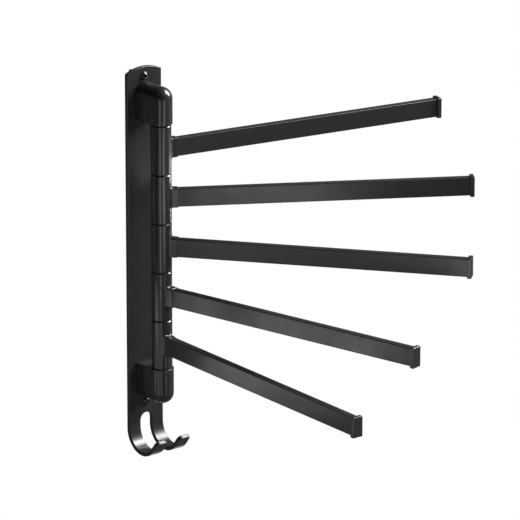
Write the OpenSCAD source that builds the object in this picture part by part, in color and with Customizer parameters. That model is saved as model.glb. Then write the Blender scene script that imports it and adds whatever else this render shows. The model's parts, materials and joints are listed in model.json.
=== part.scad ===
// Swing arm towel bar: a wall plate with a two-pronged hook, two domed brackets,
// an upright pivot shaft between them and five flat arms that swing on it.
// Origin: the wall plane, on the plate's centre line, midway between the two wall screws.
// +Z is up, the wall is the plane Y = 0 and the arms reach towards -Y.

/* [Wall plate] */
// Width of the wall plate
plate_w = 42.2; // [36:0.2:60]
// Thickness of the wall plate and of the hook's prongs
plate_t = 4; // [3:0.1:6]
// Rise of the arched top edge above its two corners
arch_rise = 4.8; // [2:0.1:10]
// Plate above the centre of the top wall screw
top_margin = 9.3; // [7:0.1:20]

/* [Hook] */
// Width of the slot that parts the two prongs
slot_w = 13.9; // [8:0.1:18]
// Plate left between the lower wall screw's head and the slot
slot_gap = 7.7; // [3:0.1:20]
// Drop from the top of the slot to the start of the bend
hook_drop = 12.6; // [10:0.1:30]
// Inner radius of the bend
hook_r = 19.2; // [12:0.1:30]
// Slope of the prongs' straight ends above level, in degrees
hook_rise = 52.5; // [20:0.5:70]
// Length of the prongs' straight ends
hook_lip = 11.6; // [8:0.2:30]
// Corner radius of the prongs' ends
prong_r = 4; // [1:0.25:5]

/* [Brackets] */
// Width of each bracket, which is also the diameter of its round end
bracket_w = 23; // [22:0.5:30]
// Height of each bracket's upright part, below its dome
bracket_h = 25.7; // [23:0.1:40]

/* [Pivot] */
// Distance from the plate's front face to the pivot axis
pivot_offset = 26; // [24:0.1:40]
// Diameter of the pivot shaft
shaft_d = 8; // [6:0.5:10]
// Length of shaft held in each bracket
shaft_grip = 18; // [10:0.5:20]
// Diameter of the swivel hubs
hub_d = 20.5; // [18:0.5:22]
// Bevel on the rims of the hubs and brackets
rim_bevel = 0.5; // [0.2:0.1:1]
// Thickness of the washers between the hubs
washer_t = 0.9; // [0.5:0.1:2]
// How far the washers' rims stand inside the hubs' rims
washer_inset = 0.7; // [0.3:0.1:2]

/* [Arms] */
// Distance between two neighbouring arms
arm_pitch = 50; // [40:1:80]
// Reach from the pivot axis to the outer end of the cap
arm_reach = 309.2; // [150:0.1:450]
// Height of the arm tube's section
tube_h = 18.4; // [12:0.1:24]
// Width of the arm tube's section
tube_w = 8; // [7:0.5:10]
// Wall of the arm tube
tube_wall = 1.2; // [0.8:0.1:2]
// Outer corner radius of the arm tube
tube_r = 0.8; // [0.3:0.1:1.5]
// Length of the socket boss, from the hub's rim to the tube
boss_l = 6.1; // [4:0.1:12]
// How far the boss stands proud of the tube on each side
boss_rim = 0.7; // [0.4:0.1:1.2]
// Length of the hub's spigot inside the tube
spigot_l = 22; // [10:1:40]

/* [Arm directions in degrees, 0 straight out, + to the right] */
// Direction of the top arm
arm_1_angle = 78.4; // [-90:0.1:90]
// Direction of the second arm
arm_2_angle = 58.4; // [-90:0.1:90]
// Direction of the middle arm
arm_3_angle = 38.8; // [-90:0.1:90]
// Direction of the fourth arm
arm_4_angle = 13.8; // [-90:0.1:90]
// Direction of the bottom arm
arm_5_angle = -1.2; // [-90:0.1:90]

/* [End caps] */
// Thickness of the cap's head
cap_t = 4.2; // [2:0.1:6]
// How far the cap stands proud above and below the tube
cap_rim_h = 1.2; // [0.5:0.1:3]
// How far the cap stands proud on each side of the tube
cap_rim_w = 2; // [0.5:0.1:3]
// Bevel round the cap's outer face
cap_bevel = 0.6; // [0.3:0.1:1.2]
// Length of the cap's plug inside the tube
plug_l = 12; // [6:1:20]

/* [Screws] */
// Diameter of the wall screws' thread
wall_screw_d = 4.2; // [3:0.1:5]
// Length of the wall screws under their heads
wall_screw_l = 25; // [20:1:50]
// Diameter of the wall screws' heads
wall_head_d = 8.6; // [8:0.1:10]
// Height of the wall screws' domed heads
wall_head_h = 2.8; // [2:0.1:4]
// Gap between a bracket's dome and the wall screw's head beside it
wall_head_gap = 1; // [0.5:0.1:4]
// Diameter of the bracket screws
bracket_screw_d = 4; // [3:0.5:5]
// Diameter of the bracket screws' countersunk heads
bracket_head_d = 7.6; // [7:0.1:8]
// Length of bracket screw inside the bracket
bracket_screw_l = 8; // [5:0.5:10]
// Distance between the two screws of one bracket
bracket_screw_pitch = 17; // [12:0.5:20]

/* [Fits] */
// Radial clearance of the hubs on the shaft
running_fit = 0.06; // [0.02:0.01:0.1]
// Clearance of plugs, spigots and fixed pins on each side
slip_fit = 0.05; // [0.02:0.01:0.1]
// Clearance of the wall screws in the plate's holes
screw_fit = 0.2; // [0.1:0.05:0.5]
// Axial play on each side of a washer
washer_play = 0.05; // [0.02:0.01:0.1]

/* [Hidden] */

$fn = 96;
// How far a cut runs past the face that it opens
cut = 1;
black = "#202122";
black_plastic = "#18191a";
steel = "#9a9da0";

// The upright stack: five hubs with a washer at each of the six seams
arm_angles = [arm_1_angle, arm_2_angle, arm_3_angle, arm_4_angle, arm_5_angle];
arm_count = len(arm_angles);
stack_half = arm_count * arm_pitch / 2;
seam_t = washer_t + 2 * washer_play;
hub_h = arm_pitch - seam_t;
axis_y = -(plate_t + pivot_offset);

// Brackets, from their flat inner face to the top of the dome
bracket_r = bracket_w / 2;
bracket_face = stack_half + seam_t / 2;
bracket_end = bracket_face + bracket_h + bracket_r;
bracket_screw_mid = bracket_face + bracket_h / 2;
socket_end_gap = 0.5;
shaft_l = 2 * (bracket_face + shaft_grip);
shaft_bevel = 0.6;

// Wall screws and the plate's two ends
wall_screw_z = bracket_end + wall_head_gap + wall_head_d / 2;
plate_top = wall_screw_z + top_margin;
arch_r = (pow(plate_w / 2, 2) + pow(arch_rise, 2)) / (2 * arch_rise);
slot_top = -(wall_screw_z + wall_head_d / 2 + slot_gap);
slot_mid = slot_top - slot_w / 2;
bend_z = slot_top - hook_drop;
prong_w = (plate_w - slot_w) / 2;
bend_outer_r = hook_r + plate_t;
bend_steps = 72;
// How far the prongs' corner arcs run past the faces that they round, so that they cross them
arc_overrun = 0.02;
// The bend and its straight ends fit in a square of this size
hook_room = 2 * bend_outer_r + hook_lip;

// Screw details
neck_rise = 0.2;
neck_r = wall_screw_d / 2 + neck_rise;
shank_l = wall_screw_l - plate_t;
screw_tip = 5;
tip_r = 0.3;
recess_w = 1.1;
recess_depth = 1.4;
head_sink = 0.2;
tap_end_gap = 1;

// Arms
hub_r = hub_d / 2;
boss_end = hub_r + boss_l;
boss_r = 1.2;
tube_l = arm_reach - cap_t - boss_end;
core_h = tube_h - 2 * tube_wall;
core_w = tube_w - 2 * tube_wall;
core_r = 0.3;

function arm_z(i) = ((arm_count + 1) / 2 - i) * arm_pitch;

function seam_z(i) = stack_half - (i - 1) * arm_pitch;

// A rectangle with round corners, centred on the origin
module rounded_rect(w, h, r) {
    square([w - 2 * r, h], center = true);
    square([w, h - 2 * r], center = true);
    for (sx = [-1, 1], sy = [-1, 1])
        translate([sx * (w / 2 - r), sy * (h / 2 - r)])
            circle(r);
}

// A bar of that section, w wide across and h high, running along +X from x = 0
module bar(l, w, h, r) {
    rotate([90, 0, 90])
        linear_extrude(l)
            rounded_rect(w, h, r);
}

// Children drawn along +X from the pivot axis are turned to arm i's place
module on_arm(i) {
    translate([0, axis_y, arm_z(i)])
        rotate([0, 0, arm_angles[i - 1] - 90])
            children();
}

// Cross recess, cut down from z = 0
module cross_recess(size) {
    for (turn = [0, 90])
        rotate([0, 0, turn])
            translate([-size / 2, -recess_w / 2, -recess_depth])
                cube([size, recess_w, recess_depth + cut]);
}

// Domed screw pointing along -Z with its head's seat at z = 0
module wall_screw() {
    dome_r = (pow(wall_head_d / 2, 2) + pow(wall_head_h, 2)) / (2 * wall_head_h);
    color(black)
    difference() {
        union() {
            intersection() {
                translate([0, 0, wall_head_h - dome_r])
                    sphere(dome_r);
                cylinder(r = dome_r, h = wall_head_h + cut);
            }
            translate([0, 0, -plate_t])
                cylinder(r = neck_r, h = plate_t);
            translate([0, 0, screw_tip - wall_screw_l])
                cylinder(d = wall_screw_d, h = shank_l - screw_tip);
            translate([0, 0, -wall_screw_l])
                cylinder(r1 = tip_r, r2 = wall_screw_d / 2, h = screw_tip);
        }
        translate([0, 0, wall_head_h])
            cross_recess(wall_head_d / 2);
    }
}

module wall_screw_at(z) {
    translate([0, -plate_t, z])
        rotate([90, 0, 0])
            wall_screw();
}

// The countersunk head's cone, grown by g, with its wide face at z = 0
module screw_cone(g) {
    head_r = bracket_head_d / 2 + g;
    thread_r = bracket_screw_d / 2 + g;
    cylinder(r1 = head_r, r2 = thread_r, h = head_r - thread_r);
}

// Countersunk screw pointing along +Z with the top of its head at z = 0
module bracket_screw() {
    color(steel)
    difference() {
        union() {
            screw_cone(0);
            cylinder(d = bracket_screw_d, h = plate_t - head_sink + bracket_screw_l);
        }
        rotate([180, 0, 0])
            cross_recess(bracket_head_d / 2);
    }
}

// The two screw places of the bracket on one side: side is 1 for the top, -1 for the bottom
module at_bracket_screws(side) {
    for (step = [-0.5, 0.5])
        translate([0, 0, side * bracket_screw_mid + step * bracket_screw_pitch])
            rotate([90, 0, 0])
                children();
}

module bracket_screws(side) {
    at_bracket_screws(side)
        translate([0, 0, head_sink])
            bracket_screw();
}

// Points on an arc round centre c, from angle a to angle b
function arc_points(c, r, a, b) = [
    for (i = [0:bend_steps])
        let (turn = a + (b - a) * i / bend_steps)
        [c.x + r * cos(turn), c.y + r * sin(turn)]
];

// Side view of the strip, bend included: x is the distance from the wall and y the height.
// The straight ends run past the prongs' tips, which are cut to shape after it.
module strip_section() {
    centre = [bend_outer_r, bend_z];
    last = 270 + hook_rise;
    end_run = (hook_lip + cut) * [cos(hook_rise), sin(hook_rise)];
    outer = arc_points(centre, bend_outer_r, 180, last);
    inner = arc_points(centre, hook_r, last, 180);
    polygon(concat(
        [[plate_t, plate_top + cut], [0, plate_top + cut]],
        outer,
        [outer[bend_steps] + end_run, inner[0] + end_run],
        inner
    ));
}

// What is cut away beyond the prongs' tips and at their round corners, seen square to
// their straight ends, which start at y = 0 and run along +Y
module beyond_tips() {
    inset = prong_r - arc_overrun;
    translate([-plate_w / 2 - cut, hook_lip])
        square([plate_w + 2 * cut, 2 * cut]);
    for (side = [-1, 1], corner = [-1, 1])
        translate([side * (slot_w + prong_w) / 2, 0])
            translate([corner * (prong_w / 2 - inset), hook_lip - inset])
                difference() {
                    translate([corner > 0 ? 0 : -prong_r - cut, 0])
                        square([prong_r + cut, prong_r + cut]);
                    circle(prong_r);
                }
}

module wall_plate() {
    color(black)
    difference() {
        rotate([90, 0, -90])
            linear_extrude(plate_w, center = true)
                strip_section();
        // arched top
        translate([0, cut, 0])
            rotate([90, 0, 0])
                linear_extrude(plate_t + 2 * cut)
                    difference() {
                        translate([-plate_w / 2 - cut, plate_top - 2 * arch_rise])
                            square([plate_w + 2 * cut, 2 * arch_rise + 2 * cut]);
                        translate([0, plate_top - arch_r])
                            circle(arch_r, $fn = 360);
                    }
        // round-cornered tips of the prongs
        translate([0, -bend_outer_r, bend_z])
            rotate([-hook_rise, 0, 0])
                translate([0, 0, -bend_outer_r - cut])
                    mirror([0, 1, 0])
                        linear_extrude(plate_t + 2 * cut)
                            beyond_tips();
        // slot between the prongs, with a round top
        translate([0, cut, slot_mid])
            rotate([90, 0, 0])
                cylinder(d = slot_w, h = plate_t + 2 * cut);
        translate([-slot_w / 2, -hook_room, bend_z - hook_room])
            cube([slot_w, hook_room + cut, slot_mid - bend_z + hook_room]);
        // wall screw holes
        for (side = [-1, 1])
            translate([0, cut, side * wall_screw_z])
                rotate([90, 0, 0])
                    cylinder(r = neck_r + screw_fit, h = plate_t + 2 * cut);
        // countersunk holes for the bracket screws
        for (side = [-1, 1])
            at_bracket_screws(side) {
                translate([0, 0, -cut])
                    cylinder(r = bracket_screw_d / 2 + slip_fit, h = plate_t + 2 * cut);
                translate([0, 0, head_sink])
                    screw_cone(slip_fit);
                translate([0, 0, -cut])
                    cylinder(r = bracket_head_d / 2 + slip_fit, h = cut + head_sink);
            }
    }
}

// The top bracket, with its inner face at z = 0 and its dome upwards
module bracket() {
    depth = pivot_offset;
    color(black)
    difference() {
        union() {
            // straight back part, arched on top
            translate([0, -plate_t, 0])
                rotate([90, 0, 0])
                    linear_extrude(depth) {
                        translate([-bracket_r, 0])
                            square([bracket_w, bracket_h]);
                        intersection() {
                            translate([0, bracket_h])
                                circle(bracket_r);
                            translate([-bracket_r, bracket_h])
                                square([bracket_w, bracket_r]);
                        }
                    }
            // round front part, domed on top
            translate([0, axis_y, 0])
                rotate([0, 0, 180])
                    rotate_extrude(angle = 180) {
                        square([bracket_r, bracket_h]);
                        intersection() {
                            translate([0, bracket_h])
                                circle(bracket_r);
                            translate([0, bracket_h])
                                square([bracket_r, bracket_r]);
                        }
                    }
        }
        // blind socket for the shaft
        translate([0, axis_y, -cut])
            cylinder(d = shaft_d + 2 * slip_fit, h = cut + shaft_grip + socket_end_gap);
        // tapped holes for the two screws from behind the plate
        translate([0, 0, -bracket_face])
            at_bracket_screws(1)
                translate([0, 0, plate_t - cut])
                    cylinder(r = bracket_screw_d / 2 + slip_fit, h = cut + bracket_screw_l + tap_end_gap);
    }
}

module top_bracket() {
    translate([0, 0, bracket_face])
        bracket();
}

module bottom_bracket() {
    mirror([0, 0, 1])
        top_bracket();
}

module pivot_shaft() {
    half = shaft_l / 2;
    r = shaft_d / 2;
    color(steel)
    translate([0, axis_y, 0])
        rotate_extrude()
            polygon([
                [0, -half],
                [r - shaft_bevel, -half],
                [r, -half + shaft_bevel],
                [r, half - shaft_bevel],
                [r - shaft_bevel, half],
                [0, half]
            ]);
}

// Hub with its bore, socket boss and spigot, drawn round the pivot axis
module hub() {
    bore_r = shaft_d / 2 + running_fit;
    half = hub_h / 2;
    color(black) {
        rotate_extrude()
            polygon([
                [bore_r, -half],
                [hub_r - rim_bevel, -half],
                [hub_r, -half + rim_bevel],
                [hub_r, half - rim_bevel],
                [hub_r - rim_bevel, half],
                [bore_r, half]
            ]);
        boss_start = (bore_r + hub_r) / 2;
        translate([boss_start, 0, 0])
            bar(boss_end - boss_start, tube_w + 2 * boss_rim, tube_h + 2 * boss_rim, boss_r);
        translate([boss_start, 0, 0])
            bar(boss_end - boss_start + spigot_l, core_w - 2 * slip_fit, core_h - 2 * slip_fit, core_r);
    }
}

module swivel_hub(i) {
    on_arm(i)
        hub();
}

module arm_tube(i) {
    color(black)
    on_arm(i)
        translate([boss_end, 0, 0])
            difference() {
                bar(tube_l, tube_w, tube_h, tube_r);
                translate([-cut, 0, 0])
                    bar(tube_l + 2 * cut, core_w, core_h, core_r);
            }
}

// Cap head with a bevelled outer rim, and the plug that holds it in the tube
module end_cap(i) {
    head_w = tube_w + 2 * cap_rim_w;
    head_h = tube_h + 2 * cap_rim_h;
    color(black_plastic)
    on_arm(i) {
        translate([arm_reach - cap_t, 0, 0])
            hull() {
                bar(cap_t - cap_bevel, head_w, head_h, cap_bevel, $fn = 32);
                bar(cap_t, head_w - 2 * cap_bevel, head_h - 2 * cap_bevel, cap_bevel / 2, $fn = 32);
            }
        translate([arm_reach - cap_t - plug_l, 0, 0])
            bar(plug_l, core_w - 2 * slip_fit, core_h - 2 * slip_fit, core_r);
    }
}

module washer(i) {
    color(black_plastic)
    translate([0, axis_y, seam_z(i) - washer_t / 2])
        difference() {
            cylinder(r = hub_r - washer_inset, h = washer_t);
            translate([0, 0, -cut])
                cylinder(r = shaft_d / 2 + running_fit, h = washer_t + 2 * cut);
        }
}

wall_plate();
top_bracket();
bottom_bracket();
pivot_shaft();
bracket_screws(1);  // top_bracket_screws
bracket_screws(-1);  // bottom_bracket_screws
wall_screw_at(wall_screw_z);  // wall_screw_top
wall_screw_at(-wall_screw_z);  // wall_screw_bottom
swivel_hub(1);  // swivel_hub_1
swivel_hub(2);  // swivel_hub_2
swivel_hub(3);  // swivel_hub_3
swivel_hub(4);  // swivel_hub_4
swivel_hub(5);  // swivel_hub_5
arm_tube(1);  // arm_tube_1
arm_tube(2);  // arm_tube_2
arm_tube(3);  // arm_tube_3
arm_tube(4);  // arm_tube_4
arm_tube(5);  // arm_tube_5
end_cap(1);  // end_cap_1
end_cap(2);  // end_cap_2
end_cap(3);  // end_cap_3
end_cap(4);  // end_cap_4
end_cap(5);  // end_cap_5
washer(1);  // washer_1
washer(2);  // washer_2
washer(3);  // washer_3
washer(4);  // washer_4
washer(5);  // washer_5
washer(6);  // washer_6
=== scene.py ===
import json
import math

import bmesh
import bpy
import numpy as np
from mathutils import Matrix, Vector


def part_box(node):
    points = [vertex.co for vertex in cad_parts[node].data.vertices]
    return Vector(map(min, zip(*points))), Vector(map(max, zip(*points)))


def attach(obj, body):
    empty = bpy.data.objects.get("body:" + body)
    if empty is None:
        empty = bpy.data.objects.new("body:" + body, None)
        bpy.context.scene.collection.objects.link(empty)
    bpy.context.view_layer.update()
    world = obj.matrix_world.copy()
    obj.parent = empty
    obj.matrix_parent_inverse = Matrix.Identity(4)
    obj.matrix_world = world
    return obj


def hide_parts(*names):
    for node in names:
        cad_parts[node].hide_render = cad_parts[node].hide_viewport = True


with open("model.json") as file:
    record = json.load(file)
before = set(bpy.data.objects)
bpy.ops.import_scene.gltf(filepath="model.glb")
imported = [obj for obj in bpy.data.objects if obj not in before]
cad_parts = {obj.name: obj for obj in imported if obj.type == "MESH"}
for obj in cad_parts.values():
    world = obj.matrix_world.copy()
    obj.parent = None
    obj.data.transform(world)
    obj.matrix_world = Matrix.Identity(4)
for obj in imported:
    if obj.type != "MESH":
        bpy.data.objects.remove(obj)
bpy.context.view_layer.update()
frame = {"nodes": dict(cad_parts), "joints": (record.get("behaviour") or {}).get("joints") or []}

# Swing arm towel bar
MM = 0.001  # shapes are worked out in millimetres, and their meshes are in metres


def in_scene(name, data):
    """A new object of the scene with the given mesh, lamp or camera data."""
    made = bpy.data.objects.new(name, data)
    bpy.context.scene.collection.objects.link(made)
    return made


# Camera at the photograph's viewing angle
CAMERA_PLACE = (-3.3237, -4.3086, 1.7761)  # metres
CAMERA_TILT = 71.71                        # degrees
CAMERA_TURN = -38.86
CAMERA_LENS = 403.03                       # millimetres
CAMERA_SENSOR = 36
CAMERA_FAR = 100                           # metres
camera = in_scene("camera", bpy.data.cameras.new("camera"))
camera.location = CAMERA_PLACE
camera.rotation_euler = (math.radians(CAMERA_TILT), 0, math.radians(CAMERA_TURN))
camera.data.lens = CAMERA_LENS
camera.data.sensor_width = CAMERA_SENSOR
camera.data.clip_end = CAMERA_FAR
bpy.context.scene.camera = camera
bpy.context.scene.view_settings.view_transform = "Standard"


def node_box(name):
    """Lowest and highest corner of a CAD node, in millimetres."""
    low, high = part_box(name)
    return np.array(low) / MM, np.array(high) / MM


# Sizes read from the frame, which has +Z up, the wall at Y = 0 and the room towards -Y
joints = {joint["child"]: joint for joint in frame["joints"]}
ARMS = [f"arm_{i}" for i in range(1, 6)]
AXIS_Y = joints["arm_1"]["pos_m"][1] / MM
ARM_HEIGHTS = {arm: joints[arm]["pos_m"][2] / MM for arm in ARMS}
ARM_TURNS = {arm: -joints[arm]["range_deg"][1] for arm in ARMS}  # from +X
PLATE_HIGH = node_box("wall_plate")[1]
PLATE_HALF = PLATE_HIGH[0]
PLATE_TOP = PLATE_HIGH[2]
PLATE_T = -node_box("top_bracket")[1][1]
BRACKET_LOW, BRACKET_HIGH = node_box("top_bracket")
BRACKET_R = BRACKET_HIGH[0]
BRACKET_H = BRACKET_HIGH[2] - BRACKET_LOW[2] - BRACKET_R
SCREW_LOW, SCREW_HIGH = node_box("wall_screw_top")
SCREW_Z = (SCREW_LOW[2] + SCREW_HIGH[2]) / 2
HEAD_R = (SCREW_HIGH[2] - SCREW_LOW[2]) / 2
HEAD_H = -PLATE_T - SCREW_LOW[1]
SHANK_END = SCREW_HIGH[1]

# Sizes that are not read from the frame, in millimetres, with angles in degrees
ARCH_RISE = 4.8
SLOT_R = 6.95
SLOT_MID = -186.95
BEND_Z = -192.6
BEND_OUTER_R = 23.2
BEND_ANGLE = 142.5
HOOK_LIP = 11.6
PRONG_R = 4.0
PLATE_CORNER = 2.0
PLATE_EDGE = 0.8
PLATE_BACK_EDGE = 0.4
BRACKET_RIM = 0.5
BRACKET_BACK_EDGE = 0.3
SHAFT_R = 4.0
SHAFT_FIT = 0.06
SOCKET_DEPTH = 18.5
MOUTH_EASE = 0.3
HUB_R = 10.25
HUB_HALF = 24.5
HUB_RIM = 0.25
HUB_CHAMFER = 0.85
HUB_CHAMFER_LEAN = 35
BOSS_END = 16.35
BOSS_W = 9.4
BOSS_H = 19.8
BOSS_CORNER = 1.2
BOSS_FILLET = 1.8
BOSS_FACE_EDGE = 0.4
BOSS_ROOT = 2.5
SPIGOT_L = 22.0
SPIGOT_ROOT = 3.0
SPIGOT_LEAD = 0.4
SPIGOT_TIP_CORNER = 0.2
TUBE_W = 8.0
TUBE_H = 18.4
TUBE_WALL = 1.2
TUBE_CORNER = 0.8
TUBE_CORE_CORNER = 0.4
TUBE_END_EASE = 0.15
ARM_REACH = 309.2
CAP_T = 4.2
CAP_W = 12.0
CAP_H = 20.8
CAP_CORNER = 1.1
CAP_EDGE = 0.7
CAP_FOOT_EDGE = 0.3
CAP_CROWN = 0.12
CROWN_SHARES = (0.85, 0.6, 0.3, 0)
PLUG_L = 12.0
PLUG_CORNER = 0.5
PLUG_LEAD_IN = 0.5
PLUG_LEAD_L = 1.0
PLUG_TIP_CORNER = 0.3
WASHER_RIM = 0.2
SLIP = 0.05
BRACKET_SCREW_R = 2.0
BRACKET_SCREW_PITCH = 17.0
BRACKET_HEAD_R = 3.8
BRACKET_SCREW_L = 11.8
HEAD_LAND = 0.1
HEAD_SINK = 0.2
HEAD_RIM = 0.25
HEAD_UNDER_EASE = 0.2
SCREW_NECK_R = 2.3
SCREW_FIT = 0.2
SCREW_CREST = 2.1
RECESS_W = 1.1
RECESS_DEPTH = 1.4
RECESS_CORNER = 0.2
OVERRUN = 1.0

# Numbers of steps round curves and along threads
ARCH_STEPS = 24
BEND_STEPS = 48
PRONG_STEPS = 8
SLOT_STEPS = 16
DOME_STEPS = 24
HUB_STEPS = 128
SCREW_STEPS = 48
THREAD_ROWS = 8
FLOOR_STEPS = 96

# Sizes that follow from those above
BEND_END = math.radians(BEND_ANGLE)
BEND_MID_R = BEND_OUTER_R - PLATE_T / 2
BEND_L = BEND_END * BEND_MID_R
BRACKET_MID = BRACKET_LOW[2] + BRACKET_H / 2
BRACKET_SCREW_ZS = {side: [side * (BRACKET_MID + step * BRACKET_SCREW_PITCH / 2)
                           for step in (1, -1)] for side in (1, -1)}
BORE_R = SHAFT_R + SHAFT_FIT
SOCKET_R = SHAFT_R + SLIP
CORE_W, CORE_H = TUBE_W - 2 * TUBE_WALL, TUBE_H - 2 * TUBE_WALL
PLUG_W, PLUG_H = CORE_W - 2 * SLIP, CORE_H - 2 * SLIP
CAP_FOOT = ARM_REACH - CAP_T


# Ways of making shapes
def lattice(rows, columns, wrap=False):
    """Quads between neighbouring points of a grid that is numbered row by row. With wrap the
    last column joins the first."""
    row = np.arange(rows - 1)[:, None] * columns
    left = np.arange(columns if wrap else columns - 1)[None, :]
    right = (left + 1) % columns
    corners = [row + left, row + right, row + columns + right, row + columns + left]
    return np.stack(corners, -1).reshape(-1, 4)


def sweep(rows, wrap=True):
    """A patch from an array of rows of points: neighbouring rows are joined by quads."""
    rows = np.asarray(rows, float)
    return rows.reshape(-1, 3), lattice(rows.shape[0], rows.shape[1], wrap).tolist()


def revolve(profile, steps=96):
    """A profile of (radius, height) turned round Z: x = radius cos a, y = radius sin a."""
    radius, height = np.asarray(profile, float).T
    turn = np.linspace(0, 2 * math.pi, steps, endpoint=False)
    x, y = np.outer(radius, np.cos(turn)), np.outer(radius, np.sin(turn))
    return sweep(np.stack([x, y, np.repeat(height[:, None], steps, 1)], -1))


def arc(centre, radius, start, end, steps):
    """Points centre + radius (cos a, sin a), with a from start to end in degrees."""
    turn = np.radians(np.linspace(start, end, steps + 1))
    return np.asarray(centre) + radius * np.stack([np.cos(turn), np.sin(turn)], -1)


def arc_edge(centre, radius, start, end, steps, way=1):
    """An arc's points and their unit normals, which point away from the centre, or towards it
    with way -1."""
    return arc(centre, radius, start, end, steps), arc((0, 0), way, start, end, steps)


def edge_rounding(radius, steps):
    """(inset, drop) rows of a rounded edge, from the face to the side, for equal steps of a
    quarter turn t: radius (1 - sin t) in from the side, radius (1 - cos t) below the face."""
    turn = np.radians(np.linspace(0, 90, steps + 1))
    return radius * (1 - np.stack([np.sin(turn), np.cos(turn)], -1))


def round_rect(width, height, radius, steps=5):
    """Outline of a rectangle with round corners: a quarter circle about each corner's centre."""
    x, y = width / 2 - radius, height / 2 - radius
    corners = [(x, y), (-x, y), (-x, -y), (x, -y)]
    return np.concatenate(
        [arc(c, radius, 90 * k, 90 * k + 90, steps) for k, c in enumerate(corners)]
    )


def inset_rect(width, height, radius, inset):
    """The outline of a rectangle with round corners, moved in by inset on all sides, or out
    where inset is negative."""
    return round_rect(width - 2 * inset, height - 2 * inset, radius - inset)


def along_x(outline, x):
    """The (y, z) outline as points at distance x from the pivot axis, along the arm."""
    return np.column_stack([np.broadcast_to(x, len(outline)), outline])


def loft(sections):
    """A patch through (outline, x) sections of an arm piece, open at both ends."""
    return sweep([along_x(outline, x) for outline, x in sections])


def closed_loft(sections):
    """The patches of a loft with one face over each end."""
    lids = [(along_x(outline, x), [list(range(len(outline)))])
            for outline, x in (sections[0], sections[-1])]
    return [loft(sections)] + lids


def placed(patches, turn, shift=(0, 0, 0)):
    """Patches turned by a 3 x 3 matrix and then shifted."""
    return [(points @ np.asarray(turn).T + np.asarray(shift), faces) for points, faces in patches]


# Turns that point a shape's own +Z into the room, along -Y, or at the wall, along +Y
TO_ROOM = np.array([[1, 0, 0], [0, 0, -1], [0, 1, 0]])
TO_WALL = TO_ROOM.T


def spun(degrees):
    """Matrix of a turn about Z."""
    c, s = math.cos(math.radians(degrees)), math.sin(math.radians(degrees))
    return np.array([[c, -s, 0], [s, c, 0], [0, 0, 1]])


MERGE_DISTANCE = 2e-6  # metres
SHARP_ANGLE = 40       # degrees


def solid(name, patches):
    """A mesh from patches: shared points are merged and the faces turned outwards."""
    points, faces, base = [], [], 0
    for patch_points, patch_faces in patches:
        points.append(patch_points)
        faces += [[base + i for i in face] for face in patch_faces]
        base += len(patch_points)
    mesh = bpy.data.meshes.new(name)
    mesh.from_pydata((np.concatenate(points) * MM).tolist(), [], faces)
    shell = bmesh.new()
    shell.from_mesh(mesh)
    bmesh.ops.remove_doubles(shell, verts=shell.verts, dist=MERGE_DISTANCE)
    bmesh.ops.recalc_face_normals(shell, faces=shell.faces)
    shell.to_mesh(mesh)
    shell.free()
    mesh.shade_smooth()
    return in_scene(name, mesh)


def combine(piece, tools, operation):
    """Cuts the tools from a piece, or unites them with it, and removes the tools."""
    for tool in tools:
        step = piece.modifiers.new("tool", "BOOLEAN")
        step.operation = operation
        step.solver = "EXACT"
        step.object = tool
    evaluated = piece.evaluated_get(bpy.context.evaluated_depsgraph_get())
    mesh = bpy.data.meshes.new_from_object(evaluated)
    piece.modifiers.clear()
    piece.data = mesh
    for tool in tools:
        bpy.data.objects.remove(tool)
    return piece


def dress(piece, body, material, node):
    """Gives a finished piece its finish, shading and body, and hides the CAD node that it stands
    for.
    """
    piece.data.materials.clear()
    piece.data.materials.append(material)
    piece.data.shade_smooth()
    piece.data.set_sharp_from_angle(angle=math.radians(SHARP_ANGLE))
    normals = piece.modifiers.new("flat faces stay flat", "WEIGHTED_NORMAL")
    normals.keep_sharp = True
    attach(piece, body)
    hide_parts(node)


def on_arm(template, name, arm):
    """A copy of an arm piece, turned and lifted from the origin to its arm's place."""
    piece = in_scene(name, template.data.copy())
    place = Matrix.Translation(Vector((0, AXIS_Y, ARM_HEIGHTS[arm])) * MM)
    turn = Matrix.Rotation(math.radians(ARM_TURNS[arm]), 4, "Z")
    piece.data.transform(place @ turn)
    return piece


# Wall plate
def bent(x, run, depth):
    """Carries the flat strip round the hook's bend. run is the length past the bend's start
    and depth the distance from the wall face. On the bend the angle is run over the middle
    radius and the point lies at the outer radius less depth; before and after it the strip
    is straight."""
    angle = np.clip(run / BEND_MID_R, 0, BEND_END)
    radius = BEND_OUTER_R - depth
    before, after = np.minimum(run, 0), np.maximum(run - BEND_L, 0)
    y = -BEND_OUTER_R + radius * np.cos(angle) - after * np.sin(angle)
    z = BEND_Z - radius * np.sin(angle) - after * np.cos(angle) - before
    return np.stack([x, y, z], -1)


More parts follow.
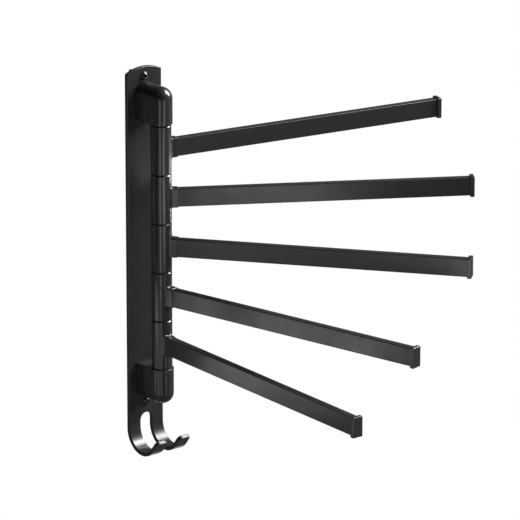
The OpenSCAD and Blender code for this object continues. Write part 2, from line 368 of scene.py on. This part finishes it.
def strip_outline():
    """Right half of the flat strip's outline, from the middle of the arch round the prong to
    the middle of the slot's top, and its outward normals, as (x, run) rows. Also the numbers
    of the points on the prong's outer and inner side at each step of the bend."""
    top = BEND_Z - PLATE_TOP
    arch_r = (PLATE_HALF**2 + ARCH_RISE**2) / (2 * ARCH_RISE)
    arch_mid = (0, top + arch_r)
    lean = math.degrees(math.asin((PLATE_HALF - PLATE_CORNER) / (arch_r - PLATE_CORNER)))
    corner = (PLATE_HALF - PLATE_CORNER,
              arch_mid[1] - (arch_r - PLATE_CORNER) * math.cos(math.radians(lean)))
    tip = BEND_L + HOOK_LIP - PRONG_R
    bend = np.linspace(0, BEND_L, BEND_STEPS + 1)
    one = np.ones_like(bend)
    parts = [
        arc_edge(arch_mid, arch_r, -90, lean - 90, ARCH_STEPS),
        [rows[1:] for rows in arc_edge(corner, PLATE_CORNER, lean - 90, 0, steps=6)],
        (np.column_stack([PLATE_HALF * one, bend]), np.column_stack([one, 0 * one])),
        arc_edge((PLATE_HALF - PRONG_R, tip), PRONG_R, 0, 90, PRONG_STEPS),
        arc_edge((SLOT_R + PRONG_R, tip), PRONG_R, 90, 180, PRONG_STEPS),
        (np.column_stack([SLOT_R * one, bend[::-1]]), np.column_stack([-one, 0 * one])),
        arc_edge((0, BEND_Z - SLOT_MID), SLOT_R, 0, -90, SLOT_STEPS, way=-1),
    ]
    starts = np.cumsum([0] + [len(points) for points, _ in parts])
    outer = starts[2] + np.arange(BEND_STEPS + 1)
    inner = starts[5] + np.arange(BEND_STEPS + 1)[::-1]
    return [np.concatenate(both) for both in zip(*parts)] + [outer, inner]


def plate_patches():
    """The strip as rings of its outline, set in from the edge and sunk from the front face
    along a quarter circle, then the same at the back edge, with flat faces over both rings."""
    half, half_normals, outer, inner = strip_outline()
    last = len(half) - 1
    flip = np.array([-1, 1])
    ring = np.concatenate([half, (half * flip)[-2:0:-1]])
    normals = np.concatenate([half_normals, (half_normals * flip)[-2:0:-1]])
    front = edge_rounding(PLATE_EDGE, steps=5)
    back = edge_rounding(PLATE_BACK_EDGE, steps=4)[::-1]
    inset = np.concatenate([front[:, 0], back[:, 0]])
    depth = np.concatenate([PLATE_T - front[:, 1], back[:, 1]])
    flat = ring[None] - inset[:, None, None] * normals[None]
    skin = bent(flat[..., 0], flat[..., 1], np.broadcast_to(depth[:, None], flat.shape[:2]))

    def mirrored(numbers):
        return (len(ring) - numbers) % len(ring)

    body = np.concatenate([
        np.arange(outer[0], -1, -1), mirrored(np.arange(1, outer[0] + 1)),
        mirrored(np.arange(inner[0], last + 1)), np.arange(last - 1, inner[0] - 1, -1),
    ])
    bend = np.stack([outer[:-1], outer[1:], inner[1:], inner[:-1]], -1)
    tip = np.arange(outer[-1], inner[-1] + 1)
    cover = [body.tolist(), tip.tolist(), mirrored(tip).tolist()]
    cover += bend.tolist() + mirrored(bend).tolist()
    return [sweep(skin), (skin[0], cover), (skin[-1], cover)]


def rod(radius, start, end):
    """(radius, depth) profile of a plain rod from one depth to another."""
    return [(0, start), (radius, start), (radius, end), (0, end)]


def drill(profile, z):
    """A cutter turned from (radius, depth) points, sunk from the wall face at height z."""
    return solid("cutter", placed([revolve(profile, SCREW_STEPS)], TO_ROOM, (0, 0, z)))


def make_wall_plate():
    """The bent strip with its wall screw holes and the countersinks in its back."""
    plate = solid("wall_plate_strip", plate_patches())
    beyond = PLATE_T + OVERRUN
    through = rod(SCREW_NECK_R + SCREW_FIT, -OVERRUN, beyond)
    head_r, thread_r = BRACKET_HEAD_R + SLIP, BRACKET_SCREW_R + SLIP
    sink = [(0, -OVERRUN), (head_r, -OVERRUN), (head_r, HEAD_SINK),
            (thread_r, HEAD_SINK + head_r - thread_r), (thread_r, beyond), (0, beyond)]
    cutters = [drill(through, side * SCREW_Z) for side in (1, -1)]
    cutters += [drill(sink, z) for side in (1, -1) for z in BRACKET_SCREW_ZS[side]]
    return combine(plate, cutters, "DIFFERENCE")


# Brackets
def bracket_patches():
    """The bracket with its inner face at z = 0. Each level is a D: two sides and a half
    circle about the pivot axis. Its radius is set in along a quarter circle at the rim, is
    constant up the wall, and then is R cos t at height h + R sin t over the dome. A blind
    socket for the shaft opens in the inner face."""
    rim = edge_rounding(BRACKET_RIM, steps=4)
    dome = np.radians(np.linspace(0, 90, DOME_STEPS + 1))
    radius = np.concatenate([BRACKET_R - rim[:, 0], BRACKET_R * np.cos(dome)])
    height = np.concatenate([rim[:, 1], BRACKET_H + BRACKET_R * np.sin(dome)])
    shrink = 1 - BRACKET_BACK_EDGE / BRACKET_R
    back_height = np.where(height > BRACKET_H, BRACKET_H + (height - BRACKET_H) * shrink, height)
    turn = np.radians(np.linspace(180, 360, 2 * DOME_STEPS + 1))
    side = radius[:, None]
    back_y = -PLATE_T * np.ones_like(side)
    edge_y = -(PLATE_T + BRACKET_BACK_EDGE) * np.ones_like(side)
    x = np.hstack([-side * shrink, -side, np.outer(radius, np.cos(turn)), side, side * shrink])
    y = np.hstack([back_y, edge_y, AXIS_Y + np.outer(radius, np.sin(turn)), edge_y, back_y])
    z = np.repeat(height[:, None], x.shape[1], 1)
    z[:, 0] = z[:, -1] = back_height
    skin = np.stack([x, y, z], -1)
    rows, columns = x.shape
    back = np.concatenate([skin[:, 0], skin[::-1, -1]])
    sight = np.unwrap(np.arctan2(skin[0, :, 1] - AXIS_Y, skin[0, :, 0]))
    rings = [skin[0]]
    for hole_r, hole_z in [(SOCKET_R + MOUTH_EASE, 0), (SOCKET_R, MOUTH_EASE),
                           (SOCKET_R, SOCKET_DEPTH), (0, SOCKET_DEPTH)]:
        rings.append(np.stack([hole_r * np.cos(sight), AXIS_Y + hole_r * np.sin(sight),
                               np.full(columns, hole_z)], -1))
    return [sweep(skin, wrap=False), (back, [list(range(2 * rows))]), sweep(rings)]


def make_bracket(name, side):
    """Top bracket for side 1, and for side -1 the same turned over below the hubs."""
    shell = placed(bracket_patches(), np.diag([1, 1, side]), (0, 0, side * BRACKET_LOW[2]))
    tapped = rod(BRACKET_SCREW_R + SLIP, PLATE_T - OVERRUN, BRACKET_SCREW_L + OVERRUN)
    cutters = [drill(tapped, z) for z in BRACKET_SCREW_ZS[side]]
    return combine(solid(name, shell), cutters, "DIFFERENCE")


# Screws
THREAD_SLOPE = 1.6  # steepens the thread's wave
THREAD_FLAT = 0.2   # lowers it, before it is cut flat at 0 and 1
RECESS_DRAFT = [(1.25, OVERRUN), (1.05, 0), (0.7, -RECESS_DEPTH)]  # share of width, height
BRACKET_SCREWS_TURNED = (25, 65)


def screw_patches(head, thread_l, crest, groove, pitch, point_l, point_r):
    """A screw along -Z. head is its (radius, height) profile from the top's middle to the
    start of the thread. Over the thread the radius is the crest, tapered to the point, less a
    groove that follows a triangle wave of height over pitch less turn over a full circle."""
    start = head[-1][1]
    count = int(thread_l / pitch * THREAD_ROWS) + 1
    height = np.linspace(start, start - thread_l, count)[1:]
    turn = np.linspace(0, 2 * math.pi, SCREW_STEPS, endpoint=False)
    taper = np.clip((height - height[-1]) / point_l, 0, 1)
    crests = point_r + (crest - point_r) * taper
    wave = np.abs(2 * np.mod(height[:, None] / pitch - turn / (2 * math.pi), 1) - 1)
    radius = crests[:, None] * (1 - groove * np.clip(THREAD_SLOPE * wave - THREAD_FLAT, 0, 1))
    thread = np.stack([radius * np.cos(turn), radius * np.sin(turn),
                       np.repeat(height[:, None], SCREW_STEPS, 1)], -1)
    cap, faces = revolve(head, SCREW_STEPS)
    rows = np.concatenate([cap.reshape(-1, SCREW_STEPS, 3)[-1:], thread,
                           np.broadcast_to([0, 0, height[-1]], (1, SCREW_STEPS, 3))])
    return [(cap, faces), sweep(rows)]


def cut_recess(screw, size, top, turn, shift):
    """Cuts a cross recess with two drafted bars, from the height top of a screw downwards."""
    bars = []
    for quarter in (0, 90):
        rows = []
        for wide, rise in RECESS_DRAFT:
            outline = round_rect(size * wide, RECESS_W * wide, RECESS_CORNER)
            rows.append(np.column_stack([outline, np.full(len(outline), top + rise)]))
        face = [list(range(len(rows[0])))]
        bar = placed([sweep(rows), (rows[0], face), (rows[-1], face)], spun(quarter))
        bars.append(solid("cutter", placed(bar, turn, shift)))
    return combine(screw, bars, "DIFFERENCE")


def make_wall_screw(name, side, turned):
    """Domed head, plain neck in the plate and a coarse thread with a point behind it."""
    dome_r = (HEAD_R**2 + HEAD_H**2) / (2 * HEAD_H)
    lean = math.degrees(math.asin(HEAD_R / dome_r))
    dome = arc((0, HEAD_H - dome_r), dome_r, 90, 90 - lean, steps=16)
    head = np.concatenate([dome[:-1], [(HEAD_R, HEAD_RIM), (HEAD_R - HEAD_UNDER_EASE, 0),
                                       (SCREW_NECK_R, 0), (SCREW_NECK_R, -PLATE_T),
                                       (SCREW_CREST, -PLATE_T)]])
    patches = screw_patches(head, SHANK_END, SCREW_CREST, groove=0.3, pitch=1.6, point_l=5.0,
                            point_r=0.3)
    turn, shift = TO_ROOM @ spun(turned), (0, -PLATE_T, side * SCREW_Z)
    return cut_recess(solid(name, placed(patches, turn, shift)), HEAD_R, HEAD_H, turn, shift)


def make_bracket_screws(name, side):
    """Two countersunk screws whose heads lie just under the face of the plate's back."""
    cone = BRACKET_HEAD_R - BRACKET_SCREW_R
    head = [(0, 0), (BRACKET_HEAD_R - HEAD_LAND, 0), (BRACKET_HEAD_R, -HEAD_LAND),
            (BRACKET_SCREW_R, -cone - HEAD_LAND)]
    patches = screw_patches(head, BRACKET_SCREW_L - cone - HEAD_LAND, BRACKET_SCREW_R,
                            groove=0.18, pitch=0.7, point_l=0.8, point_r=1.4)
    made = []
    for turned, z in zip(BRACKET_SCREWS_TURNED, BRACKET_SCREW_ZS[side]):
        turn, shift = TO_WALL @ spun(turned), (0, -HEAD_SINK, z)
        screw = solid("screw", placed(patches, turn, shift))
        made.append(cut_recess(screw, BRACKET_HEAD_R, 0, turn, shift))
    first, second = made
    first.name = first.data.name = name
    return combine(first, [second], "UNION")


# Arms
def make_hub():
    """Round hub with its bore, a leaning chamfer on its upper rim and a small round on the
    lower one, then a rectangular boss with a fillet to the hub, and a spigot for the tube.
    The boss's rows follow the hub's round face: x = sqrt(R^2 - y^2) + d, and the outline
    grows by f - sqrt(f^2 - (f - d)^2) inside the fillet radius f."""
    lean = math.radians(HUB_CHAMFER_LEAN)
    rise = HUB_CHAMFER * np.array([-math.sin(lean), math.cos(lean)])
    rim = np.array([HUB_R - HUB_RIM, HUB_HALF - HUB_RIM])
    top = rim + rise * [1, 0]
    edge = np.concatenate([arc(top - rise, HUB_RIM, 0, HUB_CHAMFER_LEAN, steps=3),
                           arc(top, HUB_RIM, HUB_CHAMFER_LEAN, 90, steps=4)])
    mouth = [(BORE_R + MOUTH_EASE, HUB_HALF), (BORE_R, HUB_HALF - MOUTH_EASE)]
    above = np.concatenate([edge, mouth])
    below = np.concatenate([arc(rim, HUB_RIM, 0, 90, steps=4), mouth])[::-1] * [1, -1]
    hub = solid("hub", [revolve(np.concatenate([above, below, above[:1]]), HUB_STEPS)])
    sections = []
    for d in [-BOSS_ROOT, *edge_rounding(BOSS_FILLET, steps=5)[:, 1]]:
        left = max(BOSS_FILLET - max(d, 0), 0)
        grow = BOSS_FILLET - math.sqrt(BOSS_FILLET**2 - left**2)
        outline = inset_rect(BOSS_W, BOSS_H, BOSS_CORNER, -grow)
        sections.append((outline, np.sqrt(HUB_R**2 - outline[:, 0] ** 2) + d))
    sections += [(inset_rect(BOSS_W, BOSS_H, BOSS_CORNER, inset), BOSS_END - drop)
                 for inset, drop in edge_rounding(BOSS_FACE_EDGE, steps=3)[::-1]]
    boss = solid("boss", closed_loft(sections))
    full = round_rect(PLUG_W, PLUG_H, PLUG_CORNER)
    lead = round_rect(PLUG_W - 2 * SPIGOT_LEAD, PLUG_H - 2 * SPIGOT_LEAD, SPIGOT_TIP_CORNER)
    tip = BOSS_END + SPIGOT_L
    rows = [(full, BOSS_END - SPIGOT_ROOT), (full, tip - SPIGOT_LEAD), (lead, tip)]
    spigot = solid("spigot", closed_loft(rows))
    return combine(hub, [boss, spigot], "UNION")


def make_tube():
    """Hollow rectangular tube: its outer and inner outlines joined in one closed band."""
    core = round_rect(CORE_W, CORE_H, TUBE_CORE_CORNER)
    outer = round_rect(TUBE_W, TUBE_H, TUBE_CORNER)
    eased = inset_rect(TUBE_W, TUBE_H, TUBE_CORNER, TUBE_END_EASE)
    rows = [(core, BOSS_END), (eased, BOSS_END), (outer, BOSS_END + TUBE_END_EASE),
            (outer, CAP_FOOT - TUBE_END_EASE), (eased, CAP_FOOT), (core, CAP_FOOT),
            (core, BOSS_END)]
    return solid("tube", [loft(rows)])


def make_cap():
    """Cap head with round edges and a slightly crowned outer face, and its plug. Over the
    crown the outline shrinks to the middle by the share s and x rises by crown (1 - s^2)."""
    shoulder = ARM_REACH - CAP_CROWN
    full = round_rect(PLUG_W, PLUG_H, PLUG_CORNER)
    lead = round_rect(PLUG_W - 2 * PLUG_LEAD_IN, PLUG_H - 2 * PLUG_LEAD_IN, PLUG_TIP_CORNER)
    tip = CAP_FOOT - PLUG_L
    rows = [(lead * 0, tip), (lead, tip), (full, tip + PLUG_LEAD_L), (full, CAP_FOOT)]
    rows += [(inset_rect(CAP_W, CAP_H, CAP_CORNER, inset), CAP_FOOT + drop)
             for inset, drop in edge_rounding(CAP_FOOT_EDGE, steps=2)]
    rows += [(inset_rect(CAP_W, CAP_H, CAP_CORNER, inset), shoulder - drop)
             for inset, drop in edge_rounding(CAP_EDGE, steps=5)[::-1]]
    face = rows[-1][0]
    rows += [(face * s, shoulder + CAP_CROWN * (1 - s * s)) for s in CROWN_SHARES]
    return solid("cap", [loft(rows)])


def make_washer(number):
    """Ring with round rims, one at each seam of the stack."""
    low, high = node_box(f"washer_{number}")
    rim_r = high[0] - WASHER_RIM
    half = (high[2] - low[2]) / 2
    edge = np.concatenate([arc((rim_r, half - WASHER_RIM), WASHER_RIM, 90, 0, steps=3),
                           arc((rim_r, WASHER_RIM - half), WASHER_RIM, 0, -90, steps=3)])
    profile = np.concatenate([[(BORE_R, -half), (BORE_R, half)], edge, [(BORE_R, -half)]])
    ring = placed([revolve(profile)], np.eye(3), (0, AXIS_Y, (low[2] + high[2]) / 2))
    return solid(f"washer_ring_{number}", ring)


# Finishes
MIX_SOCKETS = {"FLOAT": (2, 3, 0), "RGBA": (6, 7, 2)}  # a Mix node's two inputs and its output
SMOOTH = {"interpolation_type": "SMOOTHSTEP"}


def add(tree, kind, inputs=None, **settings):
    """A shader node with its settings, and its inputs linked or set."""
    made = tree.nodes.new("ShaderNode" + kind)
    for key, value in settings.items():
        setattr(made, key, value)
    for key, value in (inputs or {}).items():
        if isinstance(value, bpy.types.NodeSocket):
            tree.links.new(value, made.inputs[key])
        else:
            made.inputs[key].default_value = value
    return made


def maths(tree, operation, *values):
    """The result of a sum on one to three values."""
    return add(tree, "Math", dict(enumerate(values)), operation=operation).outputs[0]


def noise(tree, place, scale, detail, **more):
    """The grey value of a noise at a place."""
    inputs = {"Vector": place, "Scale": scale, "Detail": detail, **more}
    return add(tree, "TexNoise", inputs).outputs["Fac"]


def remap(tree, value, before, after, **settings):
    """A value carried from the range before to the range after, and held inside it."""
    inputs = {"Value": value, "From Min": before[0], "From Max": before[1],
              "To Min": after[0], "To Max": after[1]}
    return add(tree, "MapRange", inputs, **settings).outputs["Result"]


def mix(tree, share, first, second, kind="FLOAT", **settings):
    """first where the share is 0 and second where it is 1."""
    one, other, result = MIX_SOCKETS[kind]
    inputs = {0: share, one: first, other: second}
    return add(tree, "Mix", inputs, data_type=kind, **settings).outputs[result]


def toned(tree, tone, colour):
    """A colour times a tone, which may pass 1."""
    return mix(tree, tone, (0, 0, 0, 1), (*colour, 1), "RGBA", clamp_factor=False)


def group(name, inputs, outputs):
    """An empty node group with named float inputs and outputs, and its two end nodes."""
    tree = bpy.data.node_groups.new(name, "ShaderNodeTree")
    for label, value in inputs.items():
        socket = tree.interface.new_socket(label, in_out="INPUT", socket_type="NodeSocketFloat")
        socket.default_value = value
    for label in outputs:
        tree.interface.new_socket(label, in_out="OUTPUT", socket_type="NodeSocketFloat")
    return tree, tree.nodes.new("NodeGroupInput").outputs, tree.nodes.new("NodeGroupOutput").inputs


def coat_skin_group():
    """Baked coating: the fine orange peel of the skin, and slow drifts of its gloss. The peel
    is a fine noise plus a weaker one of broader waves."""
    tree, given, result = group("coat_skin", {"Peel scale": 1500.0, "Drift scale": 40.0},
                                ["Height", "Drift"])
    broad_scale, broad_weight = 0.23, 0.6
    place = add(tree, "TexCoord").outputs["Object"]
    peel = noise(tree, place, given["Peel scale"], detail=2.0, Roughness=0.4)
    broad = maths(tree, "MULTIPLY", given["Peel scale"], broad_scale)
    wave = noise(tree, place, broad, detail=1.0)
    height = maths(tree, "MULTIPLY_ADD", wave, broad_weight, peel)
    drift = noise(tree, place, given["Drift scale"], detail=4.0, Roughness=0.55)
    tree.links.new(height, result["Height"])
    tree.links.new(drift, result["Drift"])
    return tree


def edge_wear_and_highlight_group():
    """A mask for rubbed paint and a painted highlight on edges: it rises where the normal turns
    within the reach, broken up by grain."""
    tree, given, result = group("edge_wear_and_highlight", {"Reach": 0.0006, "Amount": 1.0}, ["Mask"])
    soft = add(tree, "Bevel", {"Radius": given["Reach"]}, samples=4).outputs["Normal"]
    plain = add(tree, "NewGeometry").outputs["Normal"]
    same = add(tree, "VectorMath", {0: soft, 1: plain}, operation="DOT_PRODUCT").outputs["Value"]
    bend = remap(tree, same, before=(0.995, 0.85), after=(0.0, 1.0))
    place = add(tree, "TexCoord").outputs["Object"]
    grain = noise(tree, place, scale=260.0, detail=4.0)
    broken = remap(tree, grain, before=(0.35, 0.65), after=(0.3, 1.0))
    # the edge mask: rubbed paint and a painted highlight
    wear_and_highlight_edges = maths(tree, "MULTIPLY", bend, broken)
    tree.links.new(maths(tree, "MULTIPLY", wear_and_highlight_edges, given["Amount"]), result["Mask"])
    return tree


COAT_SKIN = coat_skin_group()
EDGE_WEAR_AND_HIGHLIGHT = edge_wear_and_highlight_group()
NOISE_SPAN = (0.3, 0.7)  # the part of a noise's range that it mostly fills
COAT_TONE = (0.85, 1.15)
STEEL_TONE = (0.85, 1.1)
LINE_BREAKS = 30         # changes to a metre along the steel's lines
LINE_GLOSS = 0.07        # change of roughness to either side across them


def placed_group(tree, which, values):
    """The outputs of a group node with its own values."""
    made = tree.nodes.new("ShaderNodeGroup")
    made.node_tree = which
    for key, value in values.items():
        made.inputs[key].default_value = value
    return made.outputs


def new_material(name):
    """A material with its node tree and its surface shader."""
    material = bpy.data.materials.new(name)
    material.use_nodes = True
    tree = material.node_tree
    return material, tree, tree.nodes["Principled BSDF"]


def finish_surface(tree, surface, colour, roughness, height, distance, strength):
    """Gives the surface shader its colour and roughness, and the height as a relief."""
    relief = add(tree, "Bump", {"Height": height, "Distance": distance, "Strength": strength})
    tree.links.new(colour, surface.inputs["Base Color"])
    tree.links.new(roughness, surface.inputs["Roughness"])
    tree.links.new(relief.outputs["Normal"], surface.inputs["Normal"])


def coated(name, colour, edge_wear_and_highlight_colour, gloss, specular, peel, bump, drift=40.0):
    """A dark coating: colour is the skin's colour, and the second colour is the lighter grey of
    its edges, which stands for rubbed paint and a painted highlight there. gloss is the roughness
    of the dullest and shiniest places, peel the count of bumps to a metre, bump their height in
    metres, and drift the count of slow changes to a metre."""
    material, tree, surface = new_material(name)
    skin = placed_group(tree, COAT_SKIN, {"Peel scale": peel, "Drift scale": drift})
    # the edges get a lighter grey: rubbed paint and a painted highlight
    wear_and_highlight = placed_group(tree, EDGE_WEAR_AND_HIGHLIGHT, {"Reach": 0.0007, "Amount": 0.8})
    base = toned(tree, remap(tree, skin["Drift"], NOISE_SPAN, COAT_TONE), colour)
    wear_and_highlight_edges = mix(tree, wear_and_highlight["Mask"], base, (*edge_wear_and_highlight_colour, 1), "RGBA")
    dull = remap(tree, skin["Drift"], NOISE_SPAN, gloss)
    finish_surface(tree, surface, wear_and_highlight_edges, dull, skin["Height"], distance=bump, strength=0.6)
    surface.inputs["Specular IOR Level"].default_value = specular
    return material


def brushed_steel(name, colour, roughness, lines):
    """Bright steel with fine lines across Z, which are rings round the upright shaft: a noise
    drawn out along X and Y. lines is their count to a metre."""
    material, tree, surface = new_material(name)
    place = add(tree, "TexCoord").outputs["Object"]
    stretch = add(tree, "Mapping", {"Vector": place,
                                   "Scale": (LINE_BREAKS, LINE_BREAKS, lines)})
    rings = noise(tree, stretch.outputs["Vector"], scale=1.0, detail=3.0)
    skin = placed_group(tree, COAT_SKIN, {"Peel scale": 900.0, "Drift scale": 80.0})
    base = toned(tree, remap(tree, skin["Drift"], NOISE_SPAN, STEEL_TONE), colour)
    dull = remap(tree, rings, NOISE_SPAN, (roughness - LINE_GLOSS, roughness + LINE_GLOSS))
    finish_surface(tree, surface, base, dull, rings, distance=0.00001, strength=0.4)
    surface.inputs["Metallic"].default_value = 1.0
    return material


# The lighter edge greys stand for rubbed paint and a painted highlight on the edges
BLACK = (0.026, 0.026, 0.0264)
WEAR_AND_HIGHLIGHT_GREY = (0.045, 0.045, 0.0457)
plate_coat = coated("plate_coat", BLACK, WEAR_AND_HIGHLIGHT_GREY, gloss=(0.32, 0.27), specular=0.7, peel=1300.0,
                    bump=0.00001)
casting_coat = coated("casting_coat", BLACK, WEAR_AND_HIGHLIGHT_GREY, gloss=(0.26, 0.21), specular=0.8,
                      peel=1100.0, bump=0.000004)
arm_coat = coated("arm_coat", BLACK, WEAR_AND_HIGHLIGHT_GREY, gloss=(0.34, 0.28), specular=0.7, peel=1500.0,
                  bump=0.00001)
screw_coat = coated("screw_coat", (0.026, 0.026, 0.026), (0.05, 0.05, 0.05), gloss=(0.28, 0.2),
                    specular=0.9, peel=1800.0, bump=0.00001)
cap_plastic = coated("cap_plastic", (0.022, 0.022, 0.022), (0.04, 0.04, 0.04),
                     gloss=(0.35, 0.29), specular=0.9, peel=2600.0, bump=0.00001, drift=90.0)
washer_plastic = coated("washer_plastic", (0.03, 0.03, 0.03), (0.05, 0.05, 0.05),
                        gloss=(0.5, 0.42), specular=0.4, peel=2600.0, bump=0.00001, drift=90.0)
screw_steel = brushed_steel("screw_steel", (0.5, 0.5, 0.51), roughness=0.3, lines=4000.0)
shaft_steel = brushed_steel("shaft_steel", (0.6, 0.6, 0.61), roughness=0.25, lines=5000.0)

# The pieces
dress(make_wall_plate(), "wall_mount", plate_coat, "wall_plate")
for name, side in [("top_bracket", 1), ("bottom_bracket", -1)]:
    dress(make_bracket(f"{name}_casting", side), "wall_mount", casting_coat,
          name)
    dress(make_bracket_screws(f"{name}_screw_pair", side), "wall_mount",
          screw_steel, f"{name}_screws")
for name, side, turned in [("wall_screw_top", 1, 20), ("wall_screw_bottom", -1, 65)]:
    dress(make_wall_screw(f"{name}_domed", side, turned), "wall_mount",
          screw_coat, name)
for number in range(1, 7):
    dress(make_washer(number), "wall_mount", washer_plastic,
          f"washer_{number}")
hub, tube, cap = make_hub(), make_tube(), make_cap()
for number, arm in enumerate(ARMS, 1):
    dress(on_arm(hub, f"hub_casting_{number}", arm), arm, casting_coat,
          f"swivel_hub_{number}")
    dress(on_arm(tube, f"arm_bar_{number}", arm), arm, arm_coat,
          f"arm_tube_{number}")
    dress(on_arm(cap, f"cap_moulding_{number}", arm), arm, cap_plastic,
          f"end_cap_{number}")
for template in (hub, tube, cap):
    bpy.data.objects.remove(template)
shaft = frame["nodes"]["pivot_shaft"]
shaft.data.materials.clear()
shaft.data.materials.append(shaft_steel)

# World and floor, in metres
AMBIENT = 0.02                  # light on the surfaces from all sides
LOW_SKY = 0.09                  # what reflections see of the room below the horizon
HIGH_SKY = 0.012                # and of the room above it
HORIZON = (-0.04, 0.22)         # heights between which the low sky passes to the high one
BACKDROP = 1.0                  # what reflections see of the white backdrop
BACKDROP_WAY = (0.61, 0.79, 0)  # the direction of its middle
BACKDROP_SIDES = (0.86, 0.98)   # cosines to its middle between which it fades in
FLOOR_Z = -0.95
FLOOR_RADII = [0.0, 1, 2, 4, 8, 16, 30]
FLOOR_TINT = (0.76, 0.8)
SHADOW_REACH = (0.4, 1.4)       # distances between which the floor turns plain white
NEAR_GLOW = 0.45                # the share of that white near the part


def kinds_of_ray(tree):
    """1 for rays that a glossy surface sends on, and 1 for rays from the camera and through
    glass."""
    path = add(tree, "LightPath").outputs
    return path["Is Glossy Ray"], maths(tree, "MAXIMUM", path["Is Camera Ray"],
                                        path["Is Transmission Ray"])


def backdrop_share(tree, way):
    """1 for the directions of the white backdrop behind the part, fading to 0 at its sides."""
    facing = add(tree, "VectorMath", {0: way, 1: BACKDROP_WAY}, operation="DOT_PRODUCT")
    return remap(tree, facing.outputs["Value"], BACKDROP_SIDES, (0.0, 1.0), **SMOOTH)


def make_world():
    """White to the camera. Reflections see the white backdrop behind the part, a dim room
    below the horizon and a nearly dark one above it. The rest gets a weak ambient light."""
    world = bpy.data.worlds.new("studio")
    bpy.context.scene.world = world
    world.use_nodes = True
    tree = world.node_tree
    glossy, direct = kinds_of_ray(tree)
    way = add(tree, "TexCoord").outputs["Generated"]
    height = add(tree, "SeparateXYZ", {"Vector": way}).outputs["Z"]
    low = mix(tree, backdrop_share(tree, way), LOW_SKY, BACKDROP)
    room = remap(tree, height, HORIZON, (low, HIGH_SKY), **SMOOTH)
    strength = mix(tree, direct, mix(tree, glossy, AMBIENT, room), 1.0)
    shade = tree.nodes["Background"]
    shade.inputs["Color"].default_value = (1, 1, 1, 1)
    tree.links.new(strength, shade.inputs["Strength"])


def make_floor():
    """A pale round floor under the part. Near the part it keeps the shadow; further out it is
    as white as the background. Reflections see only its glow, which is the room's and the
    backdrop's."""
    turn = np.linspace(0, 2 * math.pi, FLOOR_STEPS, endpoint=False)
    radii = np.array(FLOOR_RADII)
    rows = np.stack([np.outer(radii, np.cos(turn)), np.outer(radii, np.sin(turn)),
                     np.full((len(radii), len(turn)), FLOOR_Z)], -1) / MM
    floor = solid("studio_floor", [sweep(rows)])
    material, tree, surface = new_material("floor_paint")
    tree.nodes.remove(surface)
    glossy, direct = kinds_of_ray(tree)
    place = add(tree, "TexCoord").outputs["Object"]
    flat = add(tree, "VectorMath", {0: place, 1: (1, 1, 0)}, operation="MULTIPLY").outputs[0]
    away = add(tree, "VectorMath", {0: flat}, operation="LENGTH").outputs["Value"]
    far = remap(tree, away, SHADOW_REACH, (NEAR_GLOW, 1.0), **SMOOTH)
    share = maths(tree, "MAXIMUM", maths(tree, "MULTIPLY", direct, far), glossy)
    grain = noise(tree, place, scale=30.0, detail=3.0)
    tint = remap(tree, grain, (0.0, 1.0), FLOOR_TINT)
    matte = add(tree, "BsdfDiffuse", {"Color": tint})
    side = add(tree, "VectorMath", {0: flat}, operation="NORMALIZE").outputs[0]
    pale = mix(tree, backdrop_share(tree, side), LOW_SKY, BACKDROP)
    bright = mix(tree, glossy, 1.0, pale)
    glow = add(tree, "Emission", {"Color": (1, 1, 1, 1), "Strength": bright})
    mixed = add(tree, "MixShader", {0: share, 1: matte.outputs[0], 2: glow.outputs[0]})
    tree.links.new(mixed.outputs[0], tree.nodes["Material Output"].inputs["Surface"])
    floor.data.materials.append(material)


# Lamps
TARGET = Vector((0.05, -0.12, -0.02))  # what a lamp faces unless it is given another point
SOFTBOX_AWAY = 2.4
STRIP_AWAY = 2.2
STRIP_SIZE = (0.14, 1.2)


def lamp(name, towards, distance, size, power, aim=TARGET, spread=180):
    """A soft oval lamp at a direction and distance from the point that it faces, with its
    width and height, its power in watts and the full angle of its beam in degrees."""
    data = bpy.data.lights.new(name, "AREA")
    data.shape = "ELLIPSE"
    data.size, data.size_y = size
    data.energy = power
    data.spread = math.radians(spread)
    made = in_scene(name, data)
    way = Vector(towards).normalized()
    made.location = Vector(aim) + way * distance
    made.rotation_euler = way.to_track_quat("Z", "Y").to_euler()
    made.visible_camera = False


make_world()
make_floor()
lamp("key_softbox", (0.815, -0.347, 0.465), SOFTBOX_AWAY, (0.6, 0.6), 78, (0.06, -0.04, 0.09))
lamp("top_softbox", (0.583, -0.305, 0.75), SOFTBOX_AWAY, (1.3, 0.42), 44)
lamp("front_strip", (-0.02, -0.95, -0.25), STRIP_AWAY, STRIP_SIZE, 1.6)
lamp("left_strip", (-0.76, -0.64, -0.25), STRIP_AWAY, STRIP_SIZE, 1.9)
lamp("high_softbox", (0.66, -0.03, 0.75), SOFTBOX_AWAY, (0.3, 0.8), 16)
lamp("limb_card", (0.295, -0.05, -0.1), 0.31, (0.035, 0.07), 0.025, (0, -0.03, 0.07), 90)
# Small cards that stand by the arms and shine into their sides: place, aim, size and power
for number, (place, aim, size, power) in enumerate([
    ((-0.12, 0.0, -0.165), (0.0, -0.16, -0.1), (0.06, 0.06), 0.00325),
    ((-0.12, -0.09, -0.165), (0.0, -0.24, -0.1), (0.08, 0.06), 0.0013),
    ((-0.15, -0.01, -0.115), (0.02, -0.1, -0.05), (0.06, 0.06), 0.0039),
    ((-0.13, -0.11, -0.115), (0.04, -0.18, -0.05), (0.08, 0.06), 0.0052),
    ((-0.11, -0.20, -0.115), (0.06, -0.27, -0.05), (0.08, 0.06), 0.0026),
    ((-0.32, 0.24, -0.08), (0.03, -0.2, 0.0), (0.13, 0.16), 0.00325),
    ((-0.32, -0.12, -0.24), (0.03, -0.2, -0.16), (0.13, 0.16), 0.0182),
    ((-0.32, -0.26, -0.08), (0.03, -0.2, 0.0), (0.13, 0.16), 0.01365),
    ((-0.10, -0.48, -0.08), (0.15, -0.12, 0.04), (0.16, 0.16), 0.03965),
]):
    way = Vector(place) - Vector(aim)
    lamp(f"card_{number}", way, way.length, size, power, aim, spread=90)
